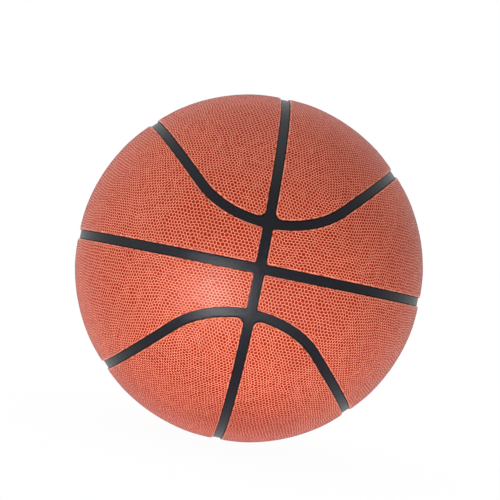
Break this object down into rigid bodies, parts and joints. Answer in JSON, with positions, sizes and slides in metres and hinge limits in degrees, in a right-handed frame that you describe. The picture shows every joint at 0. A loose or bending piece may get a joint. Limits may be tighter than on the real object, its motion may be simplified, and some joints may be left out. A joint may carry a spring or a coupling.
{
  "type": "basketball",
  "caption": "Inflatable ball with pebbled orange cover panels seated between black recessed channels on a rubber carcass, with a bladder and a needle valve.",
  "frame": {"origin": "centre of the ball", "axes": "+Z through the valve, along the top seam's plane; the middle seam lies in the XY plane, the top seam in the YZ plane, and they cross at the front on -Y"},
  "size_m": [0.2418, 0.2418, 0.2418],
  "materials": {
    "cover": "pebbled composite, satin",
    "channel_rubber": "smooth satin",
    "thread": "wound nylon thread",
    "bladder_rubber": "smooth moulded",
    "valve_rubber": "smooth moulded"
  },
  "bodies": {
    "root": {"upper_right_oval_panel": "cover", "upper_right_band_panel": "cover", "upper_left_oval_panel": "cover", "upper_left_band_panel": "cover", "lower_right_oval_panel": "cover", "lower_right_band_panel": "cover", "lower_left_oval_panel": "cover", "lower_left_band_panel": "cover", "carcass": "channel_rubber", "winding": "thread", "bladder": "bladder_rubber", "valve_boss": "valve_rubber", "valve_core": "valve_rubber"}
  },
  "joints": []
}
